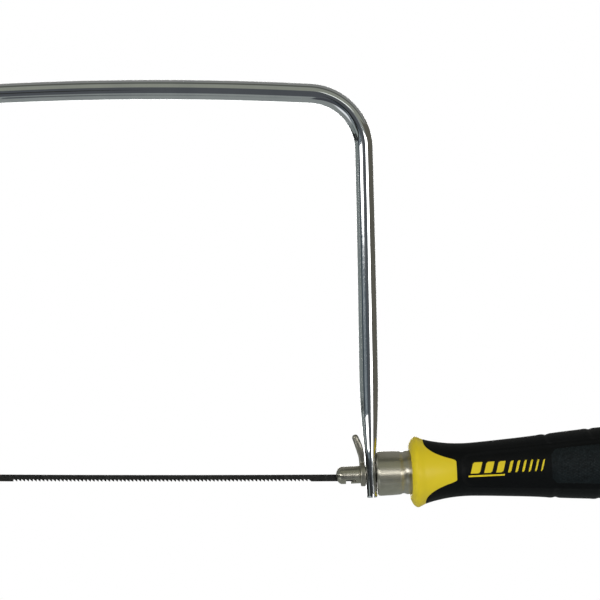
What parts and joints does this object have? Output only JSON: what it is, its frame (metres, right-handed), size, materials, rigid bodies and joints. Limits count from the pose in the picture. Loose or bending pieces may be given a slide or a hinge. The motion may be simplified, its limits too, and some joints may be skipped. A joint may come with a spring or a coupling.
{
  "type": "coping saw",
  "caption": "Coping saw with a deep round-rod bow, a fine-toothed blade pinned in two turning slotted holders, and a handle that screws up to tension the blade.",
  "frame": {"origin": "middle of the base of the saw's box, in the plane of the blade, level with the lowest point of the handle's flared front", "axes": "+X along the blade towards the handle, +Y square to the blade's side, +Z from the blade up to the bow's back"},
  "size_m": [0.3382, 0.0324, 0.187],
  "materials": {
    "chrome": "bright polished chrome plate",
    "nickel": "satin warm nickel plate",
    "zinc": "dull zinc plate",
    "blade_steel": "dark tempered steel with a light oil film",
    "yellow_plastic": "semi-gloss moulded plastic",
    "black_rubber": "soft moulded grip, satin with a fine grain"
  },
  "bodies": {
    "frame": {"frame_bow": "chrome"},
    "front_holder": {"front_blade_holder": "nickel", "front_setting_lever": "nickel", "front_washer": "zinc"},
    "blade": {"saw_blade": "blade_steel", "front_blade_pin": "blade_steel", "rear_blade_pin": "blade_steel"},
    "stud": {"tension_stud": "zinc"},
    "rear_holder": {"rear_blade_holder": "nickel", "rear_setting_lever": "nickel"},
    "handle": {"ferrule": "nickel", "handle_nut": "zinc", "handle_core": "yellow_plastic", "soft_grip": "black_rubber"}
  },
  "joints": [
    {"name": "front_holder_turn", "type": "hinge", "parent": "frame", "child": "front_holder", "pos_m": [-0.14828, 0, 0.01477], "axis": [1, 0, 0], "continuous": true},
    {"name": "blade_release", "type": "slide", "parent": "front_holder", "child": "blade", "axis": [0, 0, -1], "range_m": [0, 0.012]},
    {"name": "handle_turn", "type": "hinge", "parent": "frame", "child": "handle", "pos_m": [0.01372, 0, 0.01477], "axis": [0.9988, 0, 0.048], "range_deg": [0, 720]},
    {"name": "tension_slide", "type": "slide", "parent": "frame", "child": "stud", "axis": [-0.9988, 0, -0.048], "range_m": [0, 0.002]},
    {"name": "rear_holder_turn", "type": "hinge", "parent": "stud", "child": "rear_holder", "pos_m": [0.01372, 0, 0.01477], "axis": [0.9988, 0, 0.048], "continuous": true}
  ],
  "couplings": [
    {"joint": "tension_slide", "follows": "handle_turn", "m_per_rad": 0.00015915},
    {"joint": "rear_holder_turn", "follows": "front_holder_turn", "ratio": 1}
  ]
}
